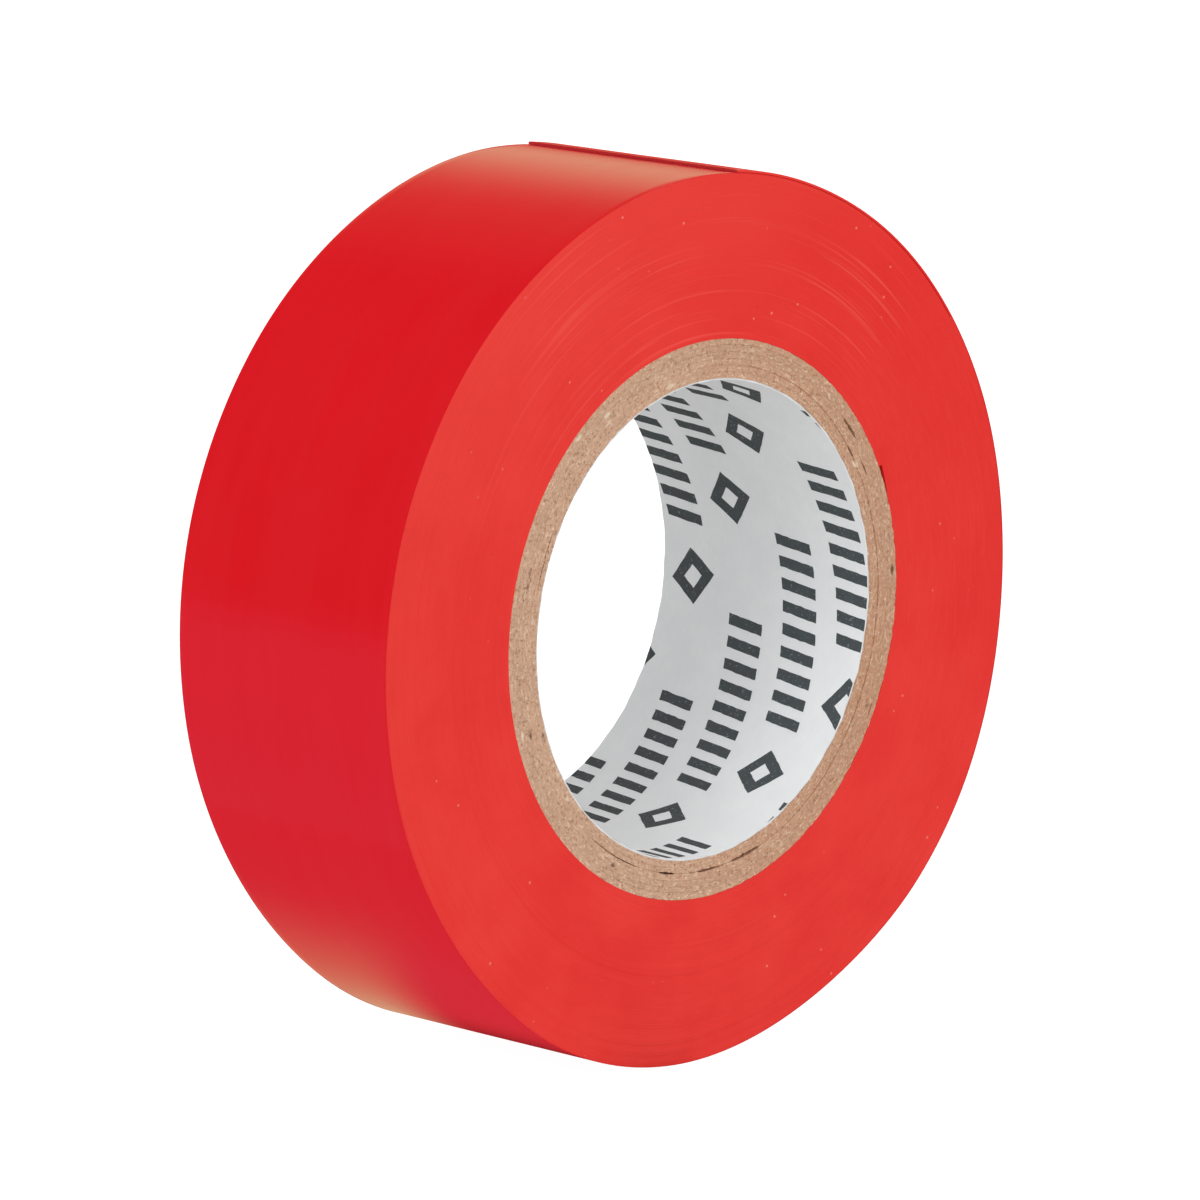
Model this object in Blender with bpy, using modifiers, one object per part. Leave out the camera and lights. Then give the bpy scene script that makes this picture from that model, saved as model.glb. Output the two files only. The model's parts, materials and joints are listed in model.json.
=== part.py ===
"""Electrical tape roll: vinyl tape wound on a laminated board core that has a paper lining.

Metres, +Z up. The roll stands on its rim, with its axis along Y and its centre at the origin.
Every piece is drawn flat, as seen from the near side of the roll, and the empty roll_axis turns
the flat drawing upright. Angles run round the axis from +X towards +Z.

The tape is one strip. Its inner end lies on the core, it winds outwards as the angle grows, and
its free end is cut off near the crest. The last few centimetres peel up, as short lengths hinged
on one another: each length's origin is on its hinge, at the tape's outer face.
"""

import math

import bmesh
import bpy
from mathutils import Vector

# Driving dimensions.
TAPE_WIDTH = 0.0190
TAPE_THICKNESS = 0.00018
ROLL_RADIUS = 0.02970
CORE_RADIUS = 0.01860
BORE_RADIUS = 0.015875
LINER_THICKNESS = 0.00012
PLY_COUNT = 6
CLEARANCE = 0.00005

# Every ring has the same corners, so that the layers stay parallel. A flat is centred underneath.
CORNERS = 120
FREE_END_CORNER = 28
PEEL_LENGTHS = 5
CORNERS_PER_LENGTH = 3
PEEL_CORNER = FREE_END_CORNER - PEEL_LENGTHS * CORNERS_PER_LENGTH

# The first turn climbs over the tape's own inner end, which leaves a small wedge against the core.
INNER_END_CORNER = 7
INNER_END_HEIGHT = 0.00015

SMOOTH_BELOW = math.radians(30)
WELD_DISTANCE = 0.000001

VINYL_RED = (0.80, 0.045, 0.040)
BOARD_TAN = (0.52, 0.36, 0.23)
PAPER_GREY = (0.60, 0.61, 0.62)


def new_material(name, colour, roughness):
    material = bpy.data.materials.new(name)
    material.use_nodes = True
    shader = material.node_tree.nodes["Principled BSDF"]
    shader.inputs["Base Color"].default_value = (*colour, 1)
    shader.inputs["Roughness"].default_value = roughness
    shader.inputs["Metallic"].default_value = 0
    material.diffuse_color = (*colour, 1)
    return material


def corner_angle(corner):
    return math.tau * (corner + 0.5) / CORNERS


def polar(radius, angle):
    return Vector((radius * math.cos(angle), radius * math.sin(angle), 0))


def tape_radius(corner):
    """Outer face of the last turn. It lies one thickness lower a full turn before the free end."""
    turns_from_end = (FREE_END_CORNER - corner) / CORNERS
    return ROLL_RADIUS - TAPE_THICKNESS * turns_from_end


def as_mesh(source, collection):
    """Replace an object by a mesh of what it evaluates to, welded and smooth round its curves."""
    bpy.context.view_layer.update()
    graph = bpy.context.evaluated_depsgraph_get()
    mesh = bpy.data.meshes.new_from_object(source.evaluated_get(graph))
    shape = bmesh.new()
    shape.from_mesh(mesh)
    bmesh.ops.remove_doubles(shape, verts=shape.verts, dist=WELD_DISTANCE)
    shape.to_mesh(mesh)
    shape.free()
    mesh.shade_smooth()
    mesh.set_sharp_from_angle(angle=SMOOTH_BELOW)
    name = source.name
    place = source.matrix_world.copy()
    bpy.data.objects.remove(source)
    piece = bpy.data.objects.new(name, mesh)
    piece.matrix_world = place
    collection.objects.link(piece)
    return piece


def flat_piece(name, loops, material, collection, origin=Vector()):
    """A piece as wide as the tape. The first loop is its outline and any other one is a hole."""
    outline = bpy.data.curves.new(name, "CURVE")
    outline.dimensions = "2D"
    outline.fill_mode = "BOTH"
    outline.extrude = TAPE_WIDTH / 2
    for points in loops:
        spline = outline.splines.new("POLY")
        spline.points.add(len(points) - 1)
        for target, point in zip(spline.points, points):
            target.co = (*(point - origin), 1)
        spline.use_cyclic_u = True
    drawing = bpy.data.objects.new(name, outline)
    drawing.location = origin
    collection.objects.link(drawing)
    piece = as_mesh(drawing, collection)
    piece.data.materials.clear()
    piece.data.materials.append(material)
    return piece


def turned_ring(name, inner_radius, outer_radius, material, collection):
    """One layer of the core, turned from a rectangle that runs down its outer side."""
    half = TAPE_WIDTH / 2
    section = (
        (outer_radius, half),
        (outer_radius, -half),
        (inner_radius, -half),
        (inner_radius, half),
    )
    shape = bmesh.new()
    points = [shape.verts.new((radius, 0, height)) for radius, height in section]
    for start, end in zip(points, points[1:] + points[:1]):
        shape.edges.new((start, end))
    profile = bpy.data.meshes.new(name)
    shape.to_mesh(profile)
    shape.free()
    ring = bpy.data.objects.new(name, profile)
    ring.rotation_euler.z = corner_angle(0)
    collection.objects.link(ring)
    screw = ring.modifiers.new("Turn", "SCREW")
    screw.steps = CORNERS
    screw.render_steps = CORNERS
    screw.use_merge_vertices = True
    screw.merge_threshold = WELD_DISTANCE
    ring = as_mesh(ring, collection)
    ring.data.materials.append(material)
    return ring


def core_pieces(board, paper, collection):
    """The paper lining and the board plies, each laid round the one before."""
    pieces = []
    inner = BORE_RADIUS
    outer = inner + LINER_THICKNESS
    pieces.append(turned_ring("core_liner", inner, outer, paper, collection))
    ply_pitch = (CORE_RADIUS - outer) / PLY_COUNT
    for number in range(1, PLY_COUNT + 1):
        inner = outer + CLEARANCE
        outer += ply_pitch
        pieces.append(turned_ring(f"core_ply_{number}", inner, outer, board, collection))
    return pieces


def wound_outline():
    """Outside of the wound tape: a spiral, with a seat under the lengths that peel up."""
    seat_depth = TAPE_THICKNESS + CLEARANCE
    points = []
    for corner in range(FREE_END_CORNER - CORNERS, PEEL_CORNER + 1):
        points.append(polar(tape_radius(corner), corner_angle(corner)))
    for corner in range(PEEL_CORNER, FREE_END_CORNER + 1):
        points.append(polar(tape_radius(corner) - seat_depth, corner_angle(corner)))
    return points


def wound_hole():
    """Inside of the wound tape: round the core, with the wedge beside the tape's inner end."""
    radius = CORE_RADIUS + CLEARANCE
    points = []
    for corner in range(CORNERS):
        if corner == INNER_END_CORNER:
            points.append(polar(radius + INNER_END_HEIGHT, corner_angle(corner)))
        points.append(polar(radius, corner_angle(corner)))
    return points


def peel_length(number, vinyl, collection):
    """One hinged length of the last turn, with its origin on its hinge."""
    first = PEEL_CORNER + (number - 1) * CORNERS_PER_LENGTH
    corners = range(first, first + CORNERS_PER_LENGTH + 1)
    angles = [corner_angle(corner) for corner in corners]
    angles[0] += CLEARANCE / ROLL_RADIUS
    faces = [tape_radius(corner) for corner in corners]
    outer = [polar(radius, angle) for radius, angle in zip(faces, angles)]
    inner = [polar(radius - TAPE_THICKNESS, angle) for radius, angle in zip(faces, angles)]
    loop = outer + inner[::-1]
    return flat_piece(f"tape_end_{number}", [loop], vinyl, collection, origin=outer[0])


def set_parent(piece, parent):
    bpy.context.view_layer.update()
    piece.parent = parent
    piece.matrix_parent_inverse = parent.matrix_world.inverted()


def build():
    for old in list(bpy.data.objects):
        bpy.data.objects.remove(old)
    collection = bpy.data.collections.new("electrical_tape_roll")
    bpy.context.scene.collection.children.link(collection)
    vinyl = new_material("vinyl_tape", VINYL_RED, 0.28)
    board = new_material("core_board", BOARD_TAN, 0.9)
    paper = new_material("printed_paper", PAPER_GREY, 0.55)

    roll_axis = bpy.data.objects.new("roll_axis", None)
    collection.objects.link(roll_axis)
    fixed = core_pieces(board, paper, collection)
    loops = [wound_outline(), wound_hole()]
    fixed.append(flat_piece("tape_wound_strip", loops, vinyl, collection))
    for piece in fixed:
        set_parent(piece, roll_axis)
    parent = roll_axis
    for number in range(1, PEEL_LENGTHS + 1):
        length = peel_length(number, vinyl, collection)
        set_parent(length, parent)
        parent = length
    roll_axis.rotation_euler.x = math.radians(90)


build()
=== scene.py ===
"""Looks of the electrical tape roll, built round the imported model.

Metres, +Z up, the roll's axis along Y. Angles run round the axis from +X towards +Z. The tape is
one strip: it starts on the core, winds outwards as the angle grows and ends at the free end.
"""

import json
import math

import bmesh
import bpy
import numpy as np
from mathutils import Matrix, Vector, noise


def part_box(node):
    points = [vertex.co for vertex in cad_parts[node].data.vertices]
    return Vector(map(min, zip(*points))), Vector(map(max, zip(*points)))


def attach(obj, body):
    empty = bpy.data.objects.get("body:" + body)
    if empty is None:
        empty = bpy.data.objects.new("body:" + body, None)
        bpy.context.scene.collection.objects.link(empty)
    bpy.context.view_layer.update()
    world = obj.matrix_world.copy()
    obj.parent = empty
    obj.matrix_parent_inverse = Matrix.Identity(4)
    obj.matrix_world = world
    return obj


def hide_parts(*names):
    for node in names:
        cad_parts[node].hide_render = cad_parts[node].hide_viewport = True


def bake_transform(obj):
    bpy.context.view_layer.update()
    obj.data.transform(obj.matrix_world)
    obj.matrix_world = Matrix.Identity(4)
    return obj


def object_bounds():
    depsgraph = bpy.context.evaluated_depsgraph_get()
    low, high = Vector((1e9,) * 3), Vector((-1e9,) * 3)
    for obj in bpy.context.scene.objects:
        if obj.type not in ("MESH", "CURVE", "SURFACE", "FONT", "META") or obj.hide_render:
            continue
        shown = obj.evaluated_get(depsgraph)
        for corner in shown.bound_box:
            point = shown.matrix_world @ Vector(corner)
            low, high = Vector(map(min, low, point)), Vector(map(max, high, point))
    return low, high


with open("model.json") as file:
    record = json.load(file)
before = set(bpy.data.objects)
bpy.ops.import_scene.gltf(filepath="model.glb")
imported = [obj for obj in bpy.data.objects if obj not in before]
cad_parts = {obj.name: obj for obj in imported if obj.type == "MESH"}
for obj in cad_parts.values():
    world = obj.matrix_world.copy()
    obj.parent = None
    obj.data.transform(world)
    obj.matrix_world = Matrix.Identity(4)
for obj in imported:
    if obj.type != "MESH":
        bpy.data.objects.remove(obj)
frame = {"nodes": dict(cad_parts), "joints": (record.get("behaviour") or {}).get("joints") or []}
cad_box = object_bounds()

MM = 0.001
TURN = 2 * math.pi


# ---------------------------------------------------------------- sizes, from the frame


def node_radii(name):
    """Smallest and largest distance of a node's corners from the roll's axis."""
    far = [math.hypot(v.co.x, v.co.z) for v in frame["nodes"][name].data.vertices]
    return min(far), max(far)


def node_angles(name):
    angles = [math.atan2(v.co.z, v.co.x) for v in frame["nodes"][name].data.vertices]
    return min(angles), max(angles)


HALF_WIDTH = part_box("tape_wound_strip")[1].y
BORE_RADIUS, LINER_BACK = node_radii("core_liner")
CORE_RADIUS = node_radii("core_ply_6")[1]
ROLL_RADIUS = node_radii("tape_end_5")[1]
FREE_END_ANGLE = node_angles("tape_end_5")[1]
FLOOR_HEIGHT = cad_box[0].z
PIVOTS = [Vector(joint["pos_m"]) for joint in frame["joints"]]
PIVOT_ANGLES = [math.atan2(p.z, p.x) for p in PIVOTS]
LENGTH_ANGLE = PIVOT_ANGLES[1] - PIVOT_ANGLES[0]


# ---------------------------------------------------------------- sizes, chosen


# The winding: steps to a turn, where the strip's inner end sits on the core, and whole turns.
STEPS = 240
STEP = TURN / STEPS
INNER_END_ANGLE = math.radians(25.5)
WOUND_TURNS = 60
TAPE_BED = CORE_RADIUS + 0.01 * MM
PITCH = (ROLL_RADIUS - TAPE_BED) / (WOUND_TURNS + 1 + (FREE_END_ANGLE - INNER_END_ANGLE) / TURN)
PEEL_STEP = round((PIVOT_ANGLES[0] - LENGTH_ANGLE / 2 - INNER_END_ANGLE) / STEP)
LAST_STEP = WOUND_TURNS * STEPS + PEEL_STEP

# How the turns pass over the strip's inner end, which is folded double.
CLIMB_STEPS = 5
SETTLE_STEPS = 14
EVEN_AFTER_TURNS = 14
FOLD = 0.12 * MM
FOLD_FADE_TURNS = 6
FOLD_TURNS = 30

# How unevenly the turns lie beside one another, and how deep the grooves between them are.
FINE_DRIFT = 0.003 * MM
BROAD_DRIFT = 0.009 * MM
DRIFT_LIMIT = 0.02 * MM
GROOVE = 0.006 * MM
GROOVE_CHANGE = 0.003 * MM
RIDGE = (("low", 0.22), ("high", 0.78))

# The tape's face and its rounded edges, and the columns and cut of the lengths that peel.
EDGE = 0.05 * MM
EDGE_ROWS = 3
FACE_WAVE = 0.0022 * MM
WOUND_ROWS = 34
PEEL_ROWS = 26
PEEL_GAP = 0.008 * MM
PEEL_COLUMN = math.radians(0.4)
CUT_BACK = math.radians(0.8)
CUT_REACH = math.radians(1.5)

# Where the soft roll is pressed out of round: middle and half length in degrees, height.
BULGES = (
    (250, 26, 0.20 * MM),
    (290, 26, -0.30 * MM),
    (326, 28, 0.27 * MM),
    (2, 24, -0.11 * MM),
    (70, 28, -0.11 * MM),
    (118, 26, -0.10 * MM),
    (165, 26, 0.08 * MM),
    (215, 25, -0.11 * MM),
)

# The core. Sawing leaves the two softer inner plies a little lower than the rest.
PLY_COUNT = 6
PLY_STEPS = 1080
PLY_JOINT = 0.006 * MM
SOFT_PLIES = 2
SOFT_SINK = 0.10 * MM
HARD_SINK = 0.04 * MM
CUT_ROUGHNESS = 0.045 * MM
SPLIT_DEPTH = 1.4 * MM
CUT_DEPTHS = np.array([0, 0.25, 0.7, 1.4, 4.0]) * MM

# Where glued plies have come apart: the ply below, middle and half length in degrees, and how
# far each side gives way.
SPLITS = (
    (4, 38.5, 3.0, 0.13 * MM),
    (3, 28.0, 1.8, 0.07 * MM),
    (2, 34.0, 1.5, 0.09 * MM),
    (2, 283.0, 4.6, 0.14 * MM),
    (2, 270.5, 3.2, 0.10 * MM),
    (2, 257.0, 2.4, 0.10 * MM),
    (2, 238.0, 9.0, 0.05 * MM),
    (1, 158.0, 7.0, 0.05 * MM),
    (5, 332.0, 1.6, 0.06 * MM),
)

# The lining, its lapped seam and the waver of its cut edges.
SEAM_ANGLE = math.radians(172)
LINER_STEPS = 720
LINER_ROWS = 13
LINER_RECESS = 0.13 * MM
LINER_LENGTH_SHARE = 0.998
LAP = 0.05 * MM
LAPS_IN_A_TURN = 40

# The plain pattern on the lining: rows of a diamond and a band of bars, set on a slope. It is
# drawn a little beyond the paper (SPARE) and cut off short of its edges (MARGIN).
ROW_RUN, ROW_RISE = 25.1, 3.96
ROW_STEP = (ROW_RUN * MM, ROW_RISE * MM)
ROW_SLOPE = math.atan2(ROW_RISE, ROW_RUN)
NEXT_ROW = (6.1 * MM, -3.95 * MM)
PATTERN_START = (math.radians(-74), -1.3 * MM)
MARK_SIZE = 3.9 * MM
MARK_HOLE = 0.42
BAND_GAP = 3.4 * MM
BAND_LENGTH = 14.0 * MM
BAND_HEIGHT = 3.0 * MM
BAR_COUNT = 9
BAR_LEAN = 0.9 * MM
SPARE_ACROSS = 6 * MM
SPARE_BEFORE = 20 * MM
SPARE_AFTER = 5 * MM
PATTERN_MARGIN = 0.18 * MM
INK_LIFT = 0.010 * MM
INK_THICKNESS = 0.016 * MM
PRINT_CUTS = 240
PRINT_ROW = 0.4 * MM
PRINT_RAGGED = 0.05 * MM
PRINT_SEED = 1

# The camera: its angle and distance, its lens, and its shift across and up.
CAMERA_ANGLE = (-46.215, 11.468)
CAMERA_DISTANCE = 0.5236
CAMERA_LENS = 236.6
CAMERA_SHIFT = (-0.0025, 0.0004)

# The stage: the floor's half size, its light on the roll, that light's loss in the shade and its
# white to the camera, the backdrop's strength in gloss, and the card's left, right, near and far.
FLOOR_HALF = 3.0
FLOOR_LIGHT = 0.68
FLOOR_SHADE = 0.30
FLOOR_WHITE = 0.97
BACKDROP_LIGHT = 0.72
CARD_SPAN = (-37 * MM, 0.25, -12 * MM, 0.25)
SOFTBOX_DISTANCE = 0.9


# ---------------------------------------------------------------- mesh helpers


def polar(radius, angle, y):
    """Points at these radii and angles, as an array whose last axis is x, y, z."""
    radius, angle, y = np.broadcast_arrays(radius, angle, y)
    return np.stack([radius * np.cos(angle), y, radius * np.sin(angle)], axis=-1)


def smooth(t):
    t = np.clip(t, 0, 1)
    return t * t * (3 - 2 * t)


def wander(length, knots, rng):
    """A smooth random line of this many values, through this many random knots."""
    values = rng.normal(0, 1, knots + 1)
    place = np.linspace(0, knots, length)
    low = np.minimum(place.astype(int), knots - 1)
    share = smooth(place - low)
    return values[low] * (1 - share) + values[low + 1] * share


def from_middle(angle, middle):
    """Angle past the middle, the shorter way round."""
    return (angle - middle + math.pi) % TURN - math.pi


def quads(indices):
    """Faces between neighbouring rows and columns of a table of vertex numbers."""
    a = indices[:-1, :-1].ravel()
    b = indices[1:, :-1].ravel()
    c = indices[1:, 1:].ravel()
    d = indices[:-1, 1:].ravel()
    return np.stack([a, b, c, d], axis=-1)


def numbered(grid):
    """The numbers of a grid of points, in a table of the same shape."""
    return np.arange(grid.shape[0] * grid.shape[1]).reshape(grid.shape[:2])


def ring_quads(grid):
    """Faces of a ring: both the loop of its section and its way round are closed."""
    table = numbered(grid)
    table = np.concatenate([table, table[:1]], axis=0)
    table = np.concatenate([table, table[:, :1]], axis=1)
    return quads(table)


def new_piece(name, points, faces, materials, sharp=40):
    """A smooth piece, sharp where faces meet at more than this many degrees."""
    mesh = bpy.data.meshes.new(name)
    mesh.from_pydata(np.asarray(points).reshape(-1, 3).tolist(), [], [list(f) for f in faces])
    shape = bmesh.new()
    shape.from_mesh(mesh)
    bmesh.ops.recalc_face_normals(shape, faces=shape.faces)
    shape.to_mesh(mesh)
    shape.free()
    mesh.shade_smooth()
    mesh.set_sharp_from_angle(angle=math.radians(sharp))
    for material in materials:
        mesh.materials.append(material)
    piece = bpy.data.objects.new(name, mesh)
    bpy.context.scene.collection.objects.link(piece)
    return piece


# ---------------------------------------------------------------- material helpers


class Shader:
    """Short ways to add and link the nodes of a material or a world."""

    def __init__(self, owner, surface="Principled BSDF"):
        owner.use_nodes = True
        self.material = owner
        self.tree = owner.node_tree
        self.surface = self.tree.nodes[surface]

    def add(self, kind, *values, **settings):
        """Add a node. Values fill its inputs in order, and a socket is linked."""
        made = self.tree.nodes.new("ShaderNode" + kind)
        for key, value in settings.items():
            setattr(made, key, value)
        for socket, value in zip(made.inputs, values):
            self.put(socket, value)
        return made

    def put(self, socket, value):
        if isinstance(value, bpy.types.NodeSocket):
            self.tree.links.new(value, socket)
        else:
            socket.default_value = value

    def set(self, name, value):
        self.put(self.surface.inputs[name], value)

    def math(self, operation, *values):
        return self.add("Math", *values, operation=operation).outputs[0]

    def spread(self, value, low, high, to_low, to_high):
        """Map a value from one range to another, held at both ends."""
        return self.add("MapRange", value, low, high, to_low, to_high).outputs[0]

    def ease(self, value, low, high, to_low, to_high):
        """The same, with a soft start and a soft end."""
        kind = {"interpolation_type": "SMOOTHSTEP"}
        return self.add("MapRange", value, low, high, to_low, to_high, **kind).outputs[0]

    def product(self, *values):
        result = values[0]
        for value in values[1:]:
            result = self.math("MULTIPLY", result, value)
        return result

    def mix(self, share, first, second):
        made = self.add("Mix", data_type="RGBA")
        for name, value in (("Factor_Float", share), ("A_Color", first), ("B_Color", second)):
            socket = next(s for s in made.inputs if s.identifier == name)
            self.put(socket, (*value, 1) if isinstance(value, tuple) else value)
        return next(s for s in made.outputs if s.identifier == "Result_Color")

    def noise(self, vector, scale, detail=2.0, roughness=0.5):
        made = self.add("TexNoise")
        self.put(made.inputs["Vector"], vector)
        self.put(made.inputs["Scale"], scale)
        self.put(made.inputs["Detail"], detail)
        self.put(made.inputs["Roughness"], roughness)
        return made.outputs["Fac"]

    def specks(self, vector, scale, size, seed):
        """1 at the middle of scattered specks, 0 away from them."""
        moved = self.add("VectorMath", vector, (seed, seed, seed), operation="ADD").outputs[0]
        made = self.add("TexVoronoi")
        self.put(made.inputs["Vector"], moved)
        self.put(made.inputs["Scale"], scale)
        return self.spread(made.outputs["Distance"], size, size * 0.5, 0.0, 1.0)

    def bump(self, height, distance, strength=1.0):
        made = self.add("Bump")
        self.put(made.inputs["Height"], height)
        self.put(made.inputs["Distance"], distance)
        self.put(made.inputs["Strength"], strength)
        return made.outputs["Normal"]

    def position(self):
        """The point in the roll's own frame, in metres."""
        return self.add("TexCoord").outputs["Object"]

    def round_the_axis(self, along):
        """The point as a direction round the axis, with its radius and place across the width.

        Noise read at this vector is drawn out along the circumference when along is small."""
        x, y, z = self.add("SeparateXYZ", self.position()).outputs
        square = self.math("ADD", self.product(x, x), self.product(z, z))
        radius = self.math("SQRT", square)
        mean_radius = (CORE_RADIUS + ROLL_RADIUS) / 2
        side = self.product(self.math("DIVIDE", x, radius), mean_radius * along)
        rise = self.product(self.math("DIVIDE", z, radius), mean_radius * along)
        return self.add("CombineXYZ", side, rise, self.math("ADD", radius, y)).outputs[0]


def new_shader(name):
    return Shader(bpy.data.materials.new(name))


# ---------------------------------------------------------------- materials


def vinyl_face():
    """The tape's glossy outer face: deep red, with faint long streaks from calendering."""
    shader = new_shader("vinyl_face")
    streaks = shader.round_the_axis(along=0.12)
    tone = shader.noise(streaks, 1400.0, detail=3.0)
    broad = shader.noise(shader.position(), 90.0, detail=2.0)
    colour = shader.mix(tone, (0.680, 0.0042, 0.0105), (0.712, 0.0062, 0.0135))
    colour = shader.mix(shader.spread(broad, 0.3, 0.7, 0.0, 0.35), colour, (0.66, 0.0045, 0.0110))
    shader.set("Base Color", colour)
    shader.set("Roughness", shader.spread(shader.noise(streaks, 700.0), 0.2, 0.8, 0.15, 0.21))
    shader.set("IOR", 1.5)
    grain = shader.noise(shader.position(), 2600.0, detail=2.0)
    shader.set("Normal", shader.bump(grain, 0.000002, 0.5))
    return shader.material


def vinyl_side():
    """The slit edges of all the turns: paler and satin, with fine lines, smears and specks."""
    shader = new_shader("vinyl_side")
    place = shader.position()
    fine = shader.round_the_axis(along=0.10)
    coarse = shader.round_the_axis(along=0.5)
    lines = shader.noise(fine, 5200.0, detail=3.0, roughness=0.6)
    bands = shader.noise(coarse, 420.0, detail=3.0)
    clouds = shader.noise(place, 120.0, detail=4.0, roughness=0.6)
    patches = shader.noise(place, 55.0, detail=1.0)
    banded = shader.spread(bands, 0.3, 0.7, 0, 1)
    body = shader.mix(banded, (0.785, 0.0200, 0.0145), (0.820, 0.0250, 0.0175))
    colour = shader.mix(shader.spread(clouds, 0.42, 0.72, 0, 0.55), body, (0.850, 0.0400, 0.0265))
    colour = shader.mix(shader.spread(clouds, 0.50, 0.25, 0, 0.5), colour, (0.755, 0.0165, 0.0120))
    # Painted shading: deeper towards the upper right, paler towards the upper left.
    x, _, z = shader.add("SeparateXYZ", place).outputs
    right = shader.math("ADD", shader.product(x, 0.71), shader.product(z, 0.71))
    left = shader.math("ADD", shader.product(x, -0.5), shader.product(z, 0.87))
    colour = shader.mix(shader.spread(right, 0.004, 0.026, 0, 0.6), colour, (0.780, 0.0140, 0.0085))
    colour = shader.mix(shader.spread(left, 0.014, 0.030, 0, 0.7), colour, (0.845, 0.0400, 0.0290))
    shown = shader.spread(patches, 0.42, 0.62, 0.10, 0.55)
    pale_lines = shader.product(shader.spread(lines, 0.50, 0.74, 0, 0.35), shown)
    colour = shader.mix(pale_lines, colour, (0.890, 0.0650, 0.0480))
    dark_lines = shader.product(shader.spread(lines, 0.46, 0.28, 0, 0.15), shown)
    colour = shader.mix(dark_lines, colour, (0.70, 0.0170, 0.0160))
    # Here and there a turn stands proud of its neighbours and catches the light: a painted
    # highlight, drawn as a paler arc on the upper part only.
    long = shader.round_the_axis(along=0.014)
    proud = shader.spread(shader.noise(long, 3600.0, detail=2.0), 0.56, 0.66, 0, 0.8)
    wide = shader.round_the_axis(along=0.6)
    reach = shader.spread(shader.noise(wide, 110.0, detail=1.0), 0.47, 0.62, 0, 1.0)
    upper = shader.spread(z, 0.004, 0.016, 0.15, 1.0)
    arc_highlights = shader.product(proud, reach, upper)
    colour = shader.mix(arc_highlights, colour, (0.865, 0.066, 0.045))
    pale = shader.specks(place, 700.0, 0.085, 0.0)
    some = shader.spread(shader.noise(place, 210.0, detail=1.0), 0.50, 0.56, 0, 0.7)
    colour = shader.mix(shader.product(pale, some), colour, (0.88, 0.26, 0.21))
    dark = shader.specks(place, 480.0, 0.070, 5.3)
    few = shader.spread(shader.noise(place, 190.0, detail=1.0), 0.40, 0.34, 0, 0.8)
    colour = shader.mix(shader.product(dark, few), colour, (0.40, 0.015, 0.016))
    shader.set("Base Color", colour)
    shader.set("Roughness", shader.spread(bands, 0.2, 0.8, 0.42, 0.55))
    shader.set("IOR", 1.5)
    shader.set("Specular IOR Level", 0.35)
    shader.set("Normal", shader.bump(lines, 0.000005, 0.4))
    return shader.material


def vinyl_cut():
    """The cut across the strip: dull and slightly torn, and painted a darker red than the slit
    sides as the shade at the step where the strip ends.
    """
    shader = new_shader("vinyl_cut")
    place = shader.position()
    tear = shader.noise(place, 5200.0, detail=3.0)
    shader.set("Base Color", shader.mix(tear, (0.46, 0.008, 0.014), (0.66, 0.018, 0.022)))
    shader.set("Roughness", 0.55)
    shader.set("Normal", shader.bump(tear, 0.00002, 0.8))
    return shader.material


def adhesive_face():
    """The tape's sticky underside: duller and darker, with fine pits."""
    shader = new_shader("adhesive_face")
    place = shader.position()
    pits = shader.noise(place, 3800.0, detail=3.0)
    shader.set("Base Color", shader.mix(pits, (0.42, 0.010, 0.014), (0.56, 0.020, 0.022)))
    shader.set("Roughness", shader.spread(pits, 0.3, 0.7, 0.34, 0.5))
    shader.set("Normal", shader.bump(pits, 0.00001, 0.8))
    return shader.material


def board(number):
    """Cut edge of a board ply: grey-brown pulp with fibres that lie along the circumference."""
    shader = new_shader(f"core_board_{number}")
    place = shader.position()
    drawn = shader.round_the_axis(along=0.28)
    tone = 1.06 if number <= SOFT_PLIES else 1.03 + 0.03 * math.cos(2.1 * number)
    body = tuple(value * tone for value in (0.690, 0.430, 0.285))
    brown = tuple(value * tone for value in (0.610, 0.325, 0.192))
    pale = tuple(value * tone for value in (0.900, 0.690, 0.500))
    deep = tuple(value * tone for value in (0.400, 0.200, 0.115))
    fibre = shader.noise(drawn, 7200.0, detail=4.0, roughness=0.7)
    pulp = shader.noise(place, 4600.0, detail=4.0, roughness=0.75)
    # Greyer on the left, browner on the right.
    right = shader.spread(shader.add("SeparateXYZ", place).outputs[0], -0.004, 0.016, 0, 1)
    clumps = shader.noise(place, 520.0, detail=3.0)
    wide = shader.noise(place, 42.0, detail=1.0)
    colour = shader.mix(right, body, brown)
    colour = shader.mix(shader.spread(wide, 0.42, 0.60, 0, 0.3), colour, (0.680, 0.450, 0.310))
    colour = shader.mix(shader.spread(fibre, 0.52, 0.66, 0, 0.95), colour, pale)
    colour = shader.mix(shader.spread(pulp, 0.48, 0.34, 0, 0.95), colour, deep)
    colour = shader.mix(shader.spread(clumps, 0.46, 0.7, 0, 0.30), colour, (0.56, 0.340, 0.220))
    flecks = shader.specks(drawn, 1150.0, 0.24, 1.7)
    some = shader.spread(shader.noise(place, 900.0, detail=1.0), 0.54, 0.60, 0, 0.85)
    colour = shader.mix(shader.product(flecks, some), colour, (0.93, 0.76, 0.58))
    pits = shader.specks(drawn, 1000.0, 0.20, 9.1)
    few = shader.spread(shader.noise(place, 800.0, detail=1.0), 0.45, 0.38, 0, 0.9)
    colour = shader.mix(shader.product(pits, few), colour, (0.15, 0.070, 0.040))
    shader.set("Base Color", colour)
    shader.set("Roughness", 0.92)
    shader.set("Specular IOR Level", 0.2)
    rough = shader.math("ADD", fibre, pulp)
    shader.set("Normal", shader.bump(rough, 0.00014, 1.0))
    return shader.material


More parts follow.
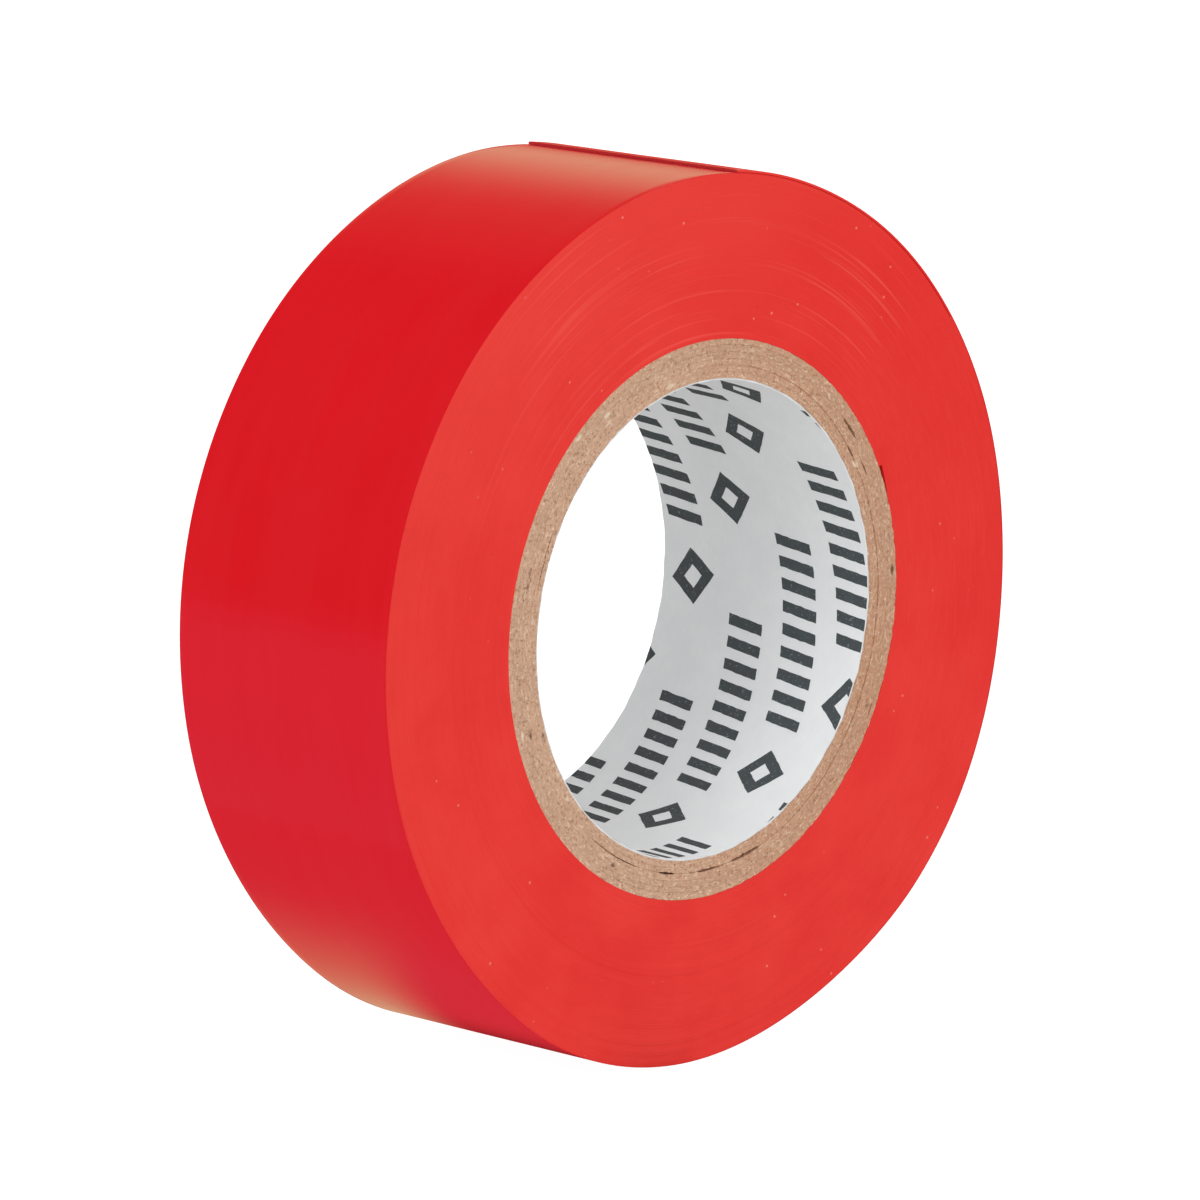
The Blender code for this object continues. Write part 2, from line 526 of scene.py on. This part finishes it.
def liner_paper():
    """Coated paper of the bore: cool off-white, faintly mottled."""
    shader = new_shader("liner_paper")
    place = shader.position()
    drawn = shader.round_the_axis(along=0.4)
    mottle = shader.spread(shader.noise(place, 420.0, detail=4.0), 0.3, 0.7, 0, 1)
    fibre = shader.noise(drawn, 2600.0, detail=3.0)
    colour = shader.mix(mottle, (0.667, 0.686, 0.690), (0.704, 0.720, 0.722))
    colour = shader.mix(shader.spread(fibre, 0.4, 0.75, 0, 0.25), colour, (0.61, 0.633, 0.645))
    shader.set("Base Color", colour)
    shader.set("Roughness", 0.6)
    shader.set("Specular IOR Level", 0.15)
    shader.set("Normal", shader.bump(shader.noise(place, 900.0, detail=3.0), 0.00001, 0.5))
    return shader.material


def liner_ink():
    """Slate ink, with small pale gaps where the paper's grain took none."""
    shader = new_shader("liner_ink")
    place = shader.position()
    grain = shader.noise(place, 5200.0, detail=2.0, roughness=0.6)
    flow = shader.noise(place, 1100.0, detail=2.0)
    colour = shader.mix(flow, (0.048, 0.060, 0.063), (0.070, 0.083, 0.086))
    colour = shader.mix(shader.spread(grain, 0.62, 0.74, 0, 0.7), colour, (0.25, 0.28, 0.29))
    shader.set("Base Color", colour)
    shader.set("Roughness", 0.7)
    shader.set("Specular IOR Level", 0.1)
    shader.set("Normal", shader.bump(grain, 0.000004, 0.5))
    return shader.material


# ---------------------------------------------------------------- the winding


def spiral_radius(step):
    """Radius of the strip's inner face, this many steps from its inner end.

    The first turn lies round on the core and only climbs where it meets the strip's own end.
    Further out that climb spreads, turn by turn, into an even spiral. The fold in the end lifts
    the turns over it, less with every turn."""
    turn, rest = np.divmod(step, STEPS)
    climb = np.clip((rest - STEPS) / CLIMB_STEPS + 1, 0, 1)
    settle = np.clip(1 - rest / SETTLE_STEPS, 0, 1) * (turn > 0)
    lift = climb * np.exp(-turn / FOLD_FADE_TURNS)
    lift = lift + settle * np.exp(-(turn - 1) / FOLD_FADE_TURNS)
    lift = FOLD * lift * (turn < FOLD_TURNS)
    even = np.clip(turn / EVEN_AFTER_TURNS, 0, 1)
    return TAPE_BED + lift + PITCH * (turn + climb * (1 - even) + rest / STEPS * even)


def out_of_round(radius, angle):
    """How far the winding at this radius is pushed out. It grows from none at the core."""
    push = 0.0
    for middle, half, height in BULGES:
        share = from_middle(angle, math.radians(middle)) / math.radians(half)
        push = push + height * (0.5 + 0.5 * np.cos(np.clip(share, -1, 1) * math.pi))
    return push * smooth((radius - CORE_RADIUS) / (ROLL_RADIUS - CORE_RADIUS))


def outer_face(angle):
    """Radius of the last turn's outer face at this angle, between the peel line and the end."""
    radius = TAPE_BED + PITCH * (WOUND_TURNS + 1 + (angle - INNER_END_ANGLE) / TURN)
    return radius + out_of_round(radius, angle)


def face_relief(angle, y):
    """Small waves of the tape's outer face, from the turns below it."""
    waves = np.sin(angle * 11 + 190 * y)
    waves = waves + np.sin(angle * 17 - 330 * y + 1)
    waves = waves + np.sin(520 * y + 3 * angle)
    return FACE_WAVE * waves


def across_the_width(rows):
    """Places across the tape from one edge to the other, closer together near the edges."""
    inner = HALF_WIDTH - EDGE
    turned = EDGE * (1 - np.cos(np.linspace(0, math.pi / 2, EDGE_ROWS + 1)[1:]))
    low = -HALF_WIDTH + turned
    middle = np.linspace(-inner, inner, rows)[1:-1]
    return np.concatenate([low, middle, -low[::-1]])


def edge_drop(y):
    """How far the rounded edge of the face lies below it."""
    into = np.clip((np.abs(y) - (HALF_WIDTH - EDGE)) / EDGE, 0, 1)
    return EDGE * (1 - np.sqrt(np.clip(1 - into * into, 0, 1)))


def build_wound_tape(side_material, face_material):
    """All the turns that stay wound, as one closed body with a ridge for every turn."""
    rng = np.random.default_rng(11)
    edges = np.arange(LAST_STEP + STEPS + 1)
    drift = wander(len(edges), WOUND_TURNS * 5, rng) * FINE_DRIFT
    drift += wander(len(edges), WOUND_TURNS // 2, rng) * BROAD_DRIFT
    drift = np.clip(drift, -DRIFT_LIMIT, DRIFT_LIMIT)
    groove = GROOVE + GROOVE_CHANGE * np.abs(wander(len(edges), WOUND_TURNS * 7, rng))
    angle = INNER_END_ANGLE + edges * STEP
    spiral = spiral_radius(edges)
    spiral = spiral + out_of_round(spiral, angle)
    crests = LAST_STEP + 1
    inner, outer = spiral[:crests], spiral[STEPS:]
    points = []
    faces = []
    tables = {}
    count = 0
    for side in (-1, 1):
        # The strip keeps its width, so what stands proud on one side is sunk on the other.
        face_y = side * (HALF_WIDTH - DRIFT_LIMIT) + drift
        rows = {"edge": polar(spiral, angle, face_y - side * groove)}
        for key, share in RIDGE:
            rows[key] = polar(inner + (outer - inner) * share, angle[:crests], face_y[:crests])
        for key, row in rows.items():
            tables[side, key] = count + np.arange(len(row))
            points.append(row)
            count += len(row)
        edge = tables[side, "edge"]
        ridge = [edge[:crests], tables[side, "low"], tables[side, "high"], edge[STEPS:]]
        faces.append(quads(np.stack(ridge, axis=0)))
    flank_faces = sum(len(block) for block in faces)
    near_edge, far_edge = tables[-1, "edge"], tables[1, "edge"]

    # The last turn's outer face, edge to edge. Its rounded edges look like the slit sides.
    steps = edges[LAST_STEP:]
    y = across_the_width(WOUND_ROWS)[:, None]
    place = angle[None, steps]
    radius = spiral_radius(steps)[None, :]
    radius = radius + out_of_round(radius, place) - edge_drop(y) + face_relief(place, y)
    grid = polar(radius, place, y)
    points.append(grid.reshape(-1, 3))
    outer_rows = count + numbered(grid)
    outer_table = np.concatenate([near_edge[None, steps], outer_rows, far_edge[None, steps]])
    faces.append(quads(outer_table))
    outer_faces = len(faces[-1])
    bands = np.arange(len(outer_table) - 1)
    on_face = np.minimum(bands, bands[::-1]) >= EDGE_ROWS

    # The inner face, against the core, and the strip's two ends.
    steps = edges[: STEPS + 1]
    faces.append(quads(np.stack([near_edge[steps], far_edge[steps]], axis=0)))
    faces = [list(face) for block in faces for face in block]
    for step in (0, LAST_STEP):
        near = [tables[-1, key][step] for key in ("edge", "low", "high")]
        near.append(near_edge[step + STEPS])
        far = [tables[1, key][step] for key in ("edge", "low", "high")]
        far.append(far_edge[step + STEPS])
        if step == LAST_STEP:
            seat = list(outer_rows[:, 0])
            faces.append(near + list(outer_rows[:, -1]) + far[::-1] + seat[::-1])
        else:
            faces.append(near + far[::-1])
    materials = [side_material, face_material]
    piece = new_piece("tape_wound", np.concatenate(points), faces, materials, sharp=50)
    index = np.zeros(len(faces), np.int32)
    index[flank_faces : flank_faces + outer_faces] = np.repeat(on_face, STEPS)
    piece.data.polygons.foreach_set("material_index", index)
    return piece


def build_peel_length(number, start, end, materials, last=False):
    """A closed length of the last turn, as thick as the tape, from one angle to another.

    The materials are for the face, the underside, the cuts across and the slit sides."""
    face, underside, cut_across, slit_side = range(4)
    columns = max(6, round((end - start) / PEEL_COLUMN))
    across = across_the_width(PEEL_ROWS)
    y = np.concatenate([across, across[::-1]])
    under = np.arange(len(y)) >= len(across)
    angle = np.linspace(start, end, columns + 1)[:, None]
    if last:
        ragged = 0.012 * np.sin(y * 2900) + 0.02 * np.sin(y * 900 + 1)
        near_cut = smooth((angle - end) / CUT_REACH + 1)
        angle = angle + ragged * MM / ROLL_RADIUS * near_cut
    radius = outer_face(angle) - edge_drop(y) * np.where(under, -1, 1)
    radius = radius + np.where(under, PEEL_GAP - PITCH, face_relief(angle, y))
    grid = polar(radius, angle, y)
    table = numbered(grid)
    closed = np.concatenate([table, table[:, :1]], axis=1)
    faces = [list(corners) for corners in quads(closed)]
    faces += [list(table[0]), list(table[-1])]
    piece = new_piece(f"tape_free_end_{number}", grid, faces, materials)
    turned = np.abs(y) > HALF_WIDTH - EDGE
    kinds = np.where(under, underside, face)
    kinds = np.where(turned & np.roll(turned, -1), slit_side, kinds)
    index = np.full(len(faces), cut_across, np.int32)
    index[:-2] = np.tile(kinds, columns)
    piece.data.polygons.foreach_set("material_index", index)
    return piece


# ---------------------------------------------------------------- the core


def ply_line(number, angle):
    """Radius of the joint outside this ply, which wanders a little round the core."""
    radius = LINER_BACK + (CORE_RADIUS - LINER_BACK) / PLY_COUNT * number
    if 0 < number < PLY_COUNT:
        radius = radius + 0.04 * MM * np.sin(3 * angle + number * 2)
        radius = radius + 0.02 * MM * np.sin(7 * angle + number)
    return radius


def split_gap(number, angle):
    """How far this ply and the next give way to the splits between them, raggedly."""
    ragged = 0.72 + 0.2 * np.sin(330 * angle + number) + 0.15 * np.sin(170 * angle)
    gap = np.zeros_like(angle)
    for ply, middle, half, width in SPLITS:
        if ply == number:
            away = np.abs(from_middle(angle, math.radians(middle))) / math.radians(half)
            gap = np.maximum(gap, width * ragged * np.clip(1 - away * away, 0, 1) ** 0.35)
    return gap


def build_ply(number, material):
    """One ply of the core: a ring with rough cut ends and splits where the glue has let go."""
    angle = np.linspace(0, TURN, PLY_STEPS, endpoint=False)
    inner = ply_line(number - 1, angle) + (PLY_JOINT if number > 1 else 0)
    outer = ply_line(number, angle) - (PLY_JOINT if number < PLY_COUNT else 0)
    inner_gap = split_gap(number - 1, angle)
    outer_gap = split_gap(number, angle)
    shares = np.linspace(0, 1, 6)[1:-1]
    # The splits are widest at the near end and close further in.
    depths = list(zip(CUT_DEPTHS - HALF_WIDTH, smooth(1 - CUT_DEPTHS / SPLIT_DEPTH)))
    loop = [(inner + inner_gap * open_share, y) for y, open_share in depths]
    loop.append((inner, HALF_WIDTH))
    loop += [(inner + (outer - inner) * share, HALF_WIDTH) for share in shares]
    loop.append((outer, HALF_WIDTH))
    loop += [(outer - outer_gap * open_share, y) for y, open_share in depths[::-1]]
    first, last = loop[0][0], loop[-1][0]
    loop += [(last + (first - last) * share, -HALF_WIDTH) for share in shares]
    grid = np.stack([polar(radius, angle, y) for radius, y in loop], axis=0)
    sink = SOFT_SINK if number <= SOFT_PLIES else HARD_SINK
    for row, (_, y) in zip(grid, loop):
        if abs(y) < HALF_WIDTH:
            continue
        for point in row:
            place = Vector(point)
            rough = noise.noise(place * 4600) * 0.7 + noise.noise(place * 1700)
            point[1] -= math.copysign(sink + rough * CUT_ROUGHNESS, y)
    return new_piece(f"core_board_ply_{number}", grid, ring_quads(grid), [material], sharp=45)


def build_liner(material):
    """The paper lining: a thin tube whose cut edges waver slightly, with a lap where it closes."""
    angle = np.linspace(0, TURN, LINER_STEPS, endpoint=False)
    past_seam = (angle - SEAM_ANGLE) % TURN / TURN
    lap = LAP * smooth(1 - past_seam * LAPS_IN_A_TURN)
    inner = BORE_RADIUS - lap * 0.5 + 0.004 * MM * np.sin(5 * angle)
    outer = LINER_BACK - 0.002 * MM
    waver = 0.022 * MM * np.sin(23 * angle) + 0.016 * MM * np.sin(61 * angle + 2)
    loop = [(inner, y) for y in np.linspace(-HALF_WIDTH, HALF_WIDTH, LINER_ROWS)]
    loop += [(outer, HALF_WIDTH), (outer, -HALF_WIDTH)]
    rows = []
    for radius, y in loop:
        trim = LINER_RECESS + waver * (abs(y) >= HALF_WIDTH)
        rows.append(polar(radius, angle, y * LINER_LENGTH_SHARE - np.sign(y) * trim))
    grid = np.stack(rows, axis=0)
    return new_piece("liner_tube", grid, ring_quads(grid), [material], sharp=45)


# ---------------------------------------------------------------- the liner's plain pattern


def diamond_ring():
    """An upright square diamond with a hole, as four quads round its middle."""
    corners = [(0.5, 0), (0, 0.5), (-0.5, 0), (0, -0.5)]
    outer = [(x * MARK_SIZE, y * MARK_SIZE) for x, y in corners]
    inner = [(x * MARK_HOLE, y * MARK_HOLE) for x, y in outer]
    pairs = [(i, (i + 1) % 4) for i in range(4)]
    return [[outer[i], outer[j], inner[j], inner[i]] for i, j in pairs]


def leaning_bars():
    """A band of plain leaning bars, after the diamond."""
    pitch = (BAND_LENGTH - BAR_LEAN) / (BAR_COUNT - 0.5)
    low, high = -BAND_HEIGHT / 2, BAND_HEIGHT / 2
    shapes = []
    for number in range(BAR_COUNT):
        left = BAND_GAP + number * pitch
        right = left + pitch / 2
        top = [(right + BAR_LEAN, high), (left + BAR_LEAN, high)]
        shapes.append([(left, low), (right, low)] + top)
    return shapes


def cut(shape, point, normal, clear=False):
    """Cut every face along a plane, and clear what lies beyond it if asked."""
    everything = shape.verts[:] + shape.edges[:] + shape.faces[:]
    bmesh.ops.bisect_plane(
        shape, geom=everything, plane_co=point, plane_no=normal, clear_outer=clear, dist=1e-7
    )


def flat_pattern(start, stop):
    """The repeat of diamond and bars, drawn flat: along the paper from its seam, and across."""
    shape = bmesh.new()
    motif = diamond_ring() + leaning_bars()
    cos, sin = math.cos(ROW_SLOPE), math.sin(ROW_SLOPE)
    for i in range(-12, 13):
        for j in range(-20, 21):
            s0 = PATTERN_START[0] * BORE_RADIUS + i * ROW_STEP[0] + j * NEXT_ROW[0]
            y0 = PATTERN_START[1] + i * ROW_STEP[1] + j * NEXT_ROW[1]
            if abs(y0) > HALF_WIDTH + SPARE_ACROSS:
                continue
            if not start - SPARE_BEFORE < s0 < stop + SPARE_AFTER:
                continue
            for quad in motif:
                corners = [(s0 + x * cos - y * sin, y0 + x * sin + y * cos) for x, y in quad]
                shape.faces.new([shape.verts.new((s, y, 0)) for s, y in corners])
    return shape


def build_print(material):
    """A thin layer of ink in that pattern, cut off at the core's ends and at the paper's seam."""
    start = (SEAM_ANGLE - TURN) * BORE_RADIUS
    stop = SEAM_ANGLE * BORE_RADIUS
    shape = flat_pattern(start, stop)
    cut(shape, (0, HALF_WIDTH - PATTERN_MARGIN, 0), (0, 1, 0), clear=True)
    cut(shape, (0, -HALF_WIDTH + PATTERN_MARGIN, 0), (0, -1, 0), clear=True)
    cut(shape, (stop - PATTERN_MARGIN, 0, 0), (1, 0, 0), clear=True)
    cut(shape, (start + PATTERN_MARGIN, 0, 0), (-1, 0, 0), clear=True)
    for number in range(1, PRINT_CUTS):
        cut(shape, (start + (stop - start) * number / PRINT_CUTS, 0, 0), (1, 0, 0))
    rows = round(2 * HALF_WIDTH / PRINT_ROW)
    for number in range(1, rows):
        cut(shape, (0, -HALF_WIDTH + 2 * HALF_WIDTH * number / rows, 0), (0, 1, 0))
    # Its edges are made a little ragged, and it is bent round the bore. Unseeded, the noise would
    # differ from run to run.
    noise.seed_set(PRINT_SEED)
    limit = HALF_WIDTH - PATTERN_MARGIN / 2
    for vertex in shape.verts:
        s, y, _ = vertex.co
        shift = noise.noise_vector(Vector((s, y, 0)) * 2600) * PRINT_RAGGED
        y = min(max(y + shift.y, -limit), limit)
        vertex.co = polar(BORE_RADIUS - INK_LIFT, (s + shift.x) / BORE_RADIUS, y)
    bmesh.ops.recalc_face_normals(shape, faces=shape.faces)
    for face in shape.faces:
        middle = face.calc_center_median()
        if face.normal.dot(Vector((middle.x, 0, middle.z))) > 0:
            face.normal_flip()
    bmesh.ops.solidify(shape, geom=shape.faces[:], thickness=INK_THICKNESS)
    mesh = bpy.data.meshes.new("liner_pattern")
    shape.to_mesh(mesh)
    shape.free()
    mesh.materials.append(material)
    piece = bpy.data.objects.new("liner_pattern", mesh)
    bpy.context.scene.collection.objects.link(piece)
    return piece


# ---------------------------------------------------------------- stage


def look_from(azimuth, elevation, distance):
    """Where something stands that looks at the roll from this angle, in degrees."""
    a, e = math.radians(azimuth), math.radians(elevation)
    back = Vector((math.sin(a) * math.cos(e), -math.cos(a) * math.cos(e), math.sin(e)))
    return back * distance, (-back).to_track_quat("-Z", "Y")


def add_camera():
    data = bpy.data.cameras.new("camera")
    camera = bpy.data.objects.new("camera", data)
    bpy.context.scene.collection.objects.link(camera)
    camera.rotation_mode = "QUATERNION"
    camera.location, camera.rotation_quaternion = look_from(*CAMERA_ANGLE, CAMERA_DISTANCE)
    data.lens = CAMERA_LENS
    data.sensor_width = 36
    data.shift_x, data.shift_y = CAMERA_SHIFT
    data.clip_start = 0.01
    data.clip_end = 20
    bpy.context.scene.camera = camera


def stage_sheet(name, shape, height, material):
    """A level sheet of the stage, from its flat shape."""
    mesh = bpy.data.meshes.new(name)
    shape.to_mesh(mesh)
    shape.free()
    mesh.materials.append(material)
    sheet = bpy.data.objects.new(name, mesh)
    sheet.location.z = height
    bpy.context.scene.collection.objects.link(sheet)
    return sheet


def add_floor():
    """A pale floor, plain white to the camera, that gives soft light from below."""
    shader = new_shader("floor")
    tone = shader.noise(shader.position(), 3.0)
    shader.set("Base Color", shader.mix(tone, (0.28, 0.28, 0.28), (0.30, 0.30, 0.30)))
    shader.set("Roughness", 0.9)
    shader.set("Specular IOR Level", 0.0)
    shader.set("Emission Color", (1.0, 1.0, 1.0, 1.0))
    # The roll shades the floor beside its line of contact, towards the near side.
    x, y, _ = shader.add("SeparateXYZ", shader.position()).outputs
    left = shader.spread(x, -0.0135, -0.0085, 0, 1)
    right = shader.spread(x, 0.000, -0.004, 0, 1)
    far = shader.spread(y, 0.006, -0.002, 0, 1)
    near = shader.spread(y, -0.016, -0.012, 0, 1)
    shade = shader.product(left, right, far, near, FLOOR_SHADE)
    light = shader.math("SUBTRACT", FLOOR_LIGHT, shade)
    seen = shader.add("LightPath").outputs["Is Camera Ray"]
    unseen = shader.product(shader.math("SUBTRACT", 1.0, seen), light)
    shader.set("Emission Strength", shader.math("ADD", unseen, shader.product(seen, FLOOR_WHITE)))
    # The floor is a light, sampled face by face, so its squares matter to the noise.
    shape = bmesh.new()
    bmesh.ops.create_grid(shape, x_segments=4, y_segments=4, size=FLOOR_HALF)
    floor = stage_sheet("floor", shape, FLOOR_HEIGHT - 0.02 * MM, shader.material)
    floor.visible_glossy = False


def add_softbox(name, azimuth, elevation, size, power):
    data = bpy.data.lights.new(name, "AREA")
    data.shape = "DISK"
    data.size = size
    data.energy = power
    light = bpy.data.objects.new(name, data)
    light.rotation_mode = "QUATERNION"
    light.location, light.rotation_quaternion = look_from(azimuth, elevation, SOFTBOX_DISTANCE)
    light.visible_glossy = False
    light.visible_camera = False
    bpy.context.scene.collection.objects.link(light)
    return light


def add_world():
    """White to the camera and for soft light. Gloss sees a studio: a backdrop and a dim table."""
    world = bpy.data.worlds.new("studio")
    bpy.context.scene.world = world
    shader = Shader(world, "Background")
    # The world's light is even, so no part of it is sampled by itself.
    world.cycles.sampling_method = "NONE"
    x, y, z = shader.add("SeparateXYZ", shader.add("TexCoord").outputs["Generated"]).outputs
    low = shader.ease(z, 0.30, 0.60, 1.0, 0.17)
    rise = shader.spread(z, 0.01, 0.18, 0.08, 1.0)
    side = shader.ease(x, 0.0, 0.4, 0.0, 1.0)
    behind = shader.ease(y, -0.1, 0.3, 0.0, 1.0)
    above = shader.spread(z, -0.10, -0.04, 0.0, 1.0)
    backdrop = shader.product(low, side, behind, rise, BACKDROP_LIGHT, above)
    glow = shader.mix(backdrop, (0.66, 0.0, 0.0), (0.80, 1.0, 0.62))
    behind_left = shader.product(shader.spread(y, 0.3, 0.6, 0, 1), shader.spread(x, 0.3, 0.0, 0, 1))
    table = shader.mix(behind_left, (0.55, 0.06, 0.07), (0.70, 0.14, 0.27))
    glow = shader.mix(above, table, glow)
    gloss = shader.add("LightPath").outputs["Is Glossy Ray"]
    shader.set("Color", shader.mix(gloss, (1.0, 1.0, 1.0), glow))
    shader.set("Strength", 1.0)


def add_table_glow():
    """The table behind the roll, seen only by gloss: red from the roll, and lit further back."""
    shader = new_shader("table_glow")
    shader.tree.nodes.remove(shader.surface)
    x, y, _ = shader.add("SeparateXYZ", shader.add("TexCoord").outputs["Object"]).outputs
    in_view = shader.ease(x, -0.027, -0.010, 0.0, 1.0)
    lit = shader.product(in_view, shader.ease(y, 0.004, 0.012, 0.0, 1.0))
    beside = shader.spread(x, -0.018, -0.011, 0.0, 1.0)
    red = shader.mix(beside, (0.66, 0.10, 0.16), (0.64, 0.055, 0.075))
    glow = shader.mix(lit, red, (0.66, 0.56, 0.33))
    # Where the roll rests it keeps the light off the table, more so on the near side.
    contact = shader.spread(x, -0.0120, -0.0070, 0.0, 0.95)
    nearer = shader.spread(y, 0.011, 0.004, 0.0, 1.0)
    glow = shader.mix(shader.product(contact, nearer), glow, (0.02, 0.01, 0.01))
    light = shader.add("Emission", glow, 1.0).outputs[0]
    shader.put(shader.tree.nodes["Material Output"].inputs["Surface"], light)
    left, right, near, far = CARD_SPAN
    corners = [(left, near), (right, near), (right, far), (left, far)]
    shape = bmesh.new()
    shape.faces.new([shape.verts.new((x, y, 0)) for x, y in corners])
    card = stage_sheet("table_glow", shape, FLOOR_HEIGHT + 0.01 * MM, shader.material)
    card.visible_camera = False
    card.visible_diffuse = False
    card.visible_shadow = False
    card.visible_transmission = False


# ---------------------------------------------------------------- assembly

add_camera()
bpy.context.scene.view_settings.view_transform = "Standard"
add_world()
add_floor()
add_table_glow()
add_softbox("key", -75, 50, 0.5, 0.15)
add_softbox("fill", 10, 35, 0.6, 0.1)
paper_lights = [
    add_softbox("paper_light", -74, 13, 0.5, 1.7),
    add_softbox("paper_top", -45, 62, 0.5, 1.9),
]

face, side, glue, cut_face = vinyl_face(), vinyl_side(), adhesive_face(), vinyl_cut()

wound = build_wound_tape(side, face)
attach(wound, "roll")
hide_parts("tape_wound_strip")

# Each length runs from halfway along one hinged body to halfway along the next, over the hinge.
bounds = [INNER_END_ANGLE + PEEL_STEP * STEP]
bounds += [angle + LENGTH_ANGLE / 2 for angle in PIVOT_ANGLES[:-1]]
bounds.append(FREE_END_ANGLE - CUT_BACK)
for number, pivot_angle in enumerate(PIVOT_ANGLES, 1):
    start, end = bounds[number - 1 : number + 1]
    last = number == len(PIVOT_ANGLES)
    piece = build_peel_length(number, start, end, [face, glue, cut_face, side], last=last)
    bend = (pivot_angle - LENGTH_ANGLE / 2, pivot_angle + LENGTH_ANGLE / 2)
    ends = [Vector(polar(outer_face(angle), angle, 0.0)) for angle in bend]
    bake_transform(piece)
    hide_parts(f"tape_end_{number}")

for number in range(1, PLY_COUNT + 1):
    ply = build_ply(number, board(number))
    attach(ply, "roll")
    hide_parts(f"core_ply_{number}")

liner = build_liner(liner_paper())
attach(liner, "roll")
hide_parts("core_liner")
pattern = build_print(liner_ink())
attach(pattern, "roll")

# Two of the softboxes light the lining only.
paper = bpy.data.collections.new("paper")
paper.objects.link(liner)
paper.objects.link(pattern)
for light in paper_lights:
    light.light_linking.receiver_collection = paper
